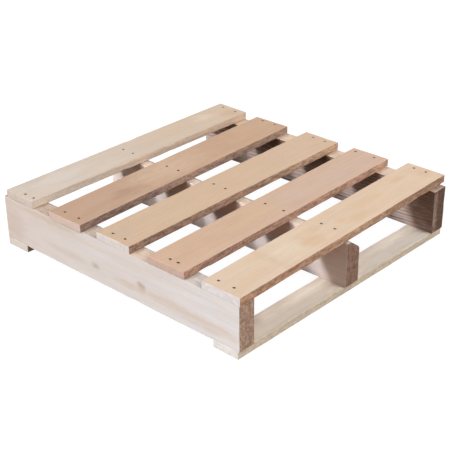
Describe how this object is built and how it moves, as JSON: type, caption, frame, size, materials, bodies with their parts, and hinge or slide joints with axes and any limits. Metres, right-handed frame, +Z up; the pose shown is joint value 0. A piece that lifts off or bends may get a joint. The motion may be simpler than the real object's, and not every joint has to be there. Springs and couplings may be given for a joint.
{
  "type": "wooden pallet",
  "caption": "Small square two-way stringer pallet in bare wood, with spaced deck boards nailed across stringers and a bottom board under each end.",
  "frame": {"origin": "centre of the footprint, on the surface the pallet stands on", "axes": "+X along the deck boards to the right, +Y along the stringers from front to rear, +Z up; forks enter along Y"},
  "size_m": [0.6152, 0.627, 0.1295],
  "materials": {
    "stringer_wood": "sawn, bare",
    "stringer_wood_brown": "sawn, bare",
    "deck_wood_cream": "sawn, bare",
    "deck_wood_pink": "sawn, bare",
    "deck_wood_tan": "sawn, bare",
    "deck_wood_red": "sawn, bare",
    "deck_wood_beige": "sawn, bare",
    "bottom_wood": "sawn, bare",
    "nail_steel": "dull, slightly rusted"
  },
  "bodies": {
    "root": {"left_stringer": "stringer_wood", "middle_stringer": "stringer_wood_brown", "right_stringer": "stringer_wood_brown", "front_deck_board": "deck_wood_cream", "second_deck_board": "deck_wood_pink", "middle_deck_board": "deck_wood_tan", "fourth_deck_board": "deck_wood_red", "rear_deck_board": "deck_wood_beige", "front_bottom_board": "bottom_wood", "rear_bottom_board": "bottom_wood", "front_deck_nails_left": "nail_steel", "front_deck_nails_middle": "nail_steel", "front_deck_nails_right": "nail_steel", "second_deck_nails_left": "nail_steel", "second_deck_nails_middle": "nail_steel", "second_deck_nails_right": "nail_steel", "middle_deck_nails_left": "nail_steel", "middle_deck_nails_middle": "nail_steel", "middle_deck_nails_right": "nail_steel", "fourth_deck_nails_left": "nail_steel", "fourth_deck_nails_middle": "nail_steel", "fourth_deck_nails_right": "nail_steel", "rear_deck_nails_left": "nail_steel", "rear_deck_nails_middle": "nail_steel", "rear_deck_nails_right": "nail_steel", "front_bottom_nails_left": "nail_steel", "front_bottom_nails_middle": "nail_steel", "front_bottom_nails_right": "nail_steel", "rear_bottom_nails_left": "nail_steel", "rear_bottom_nails_middle": "nail_steel", "rear_bottom_nails_right": "nail_steel"}
  },
  "joints": []
}
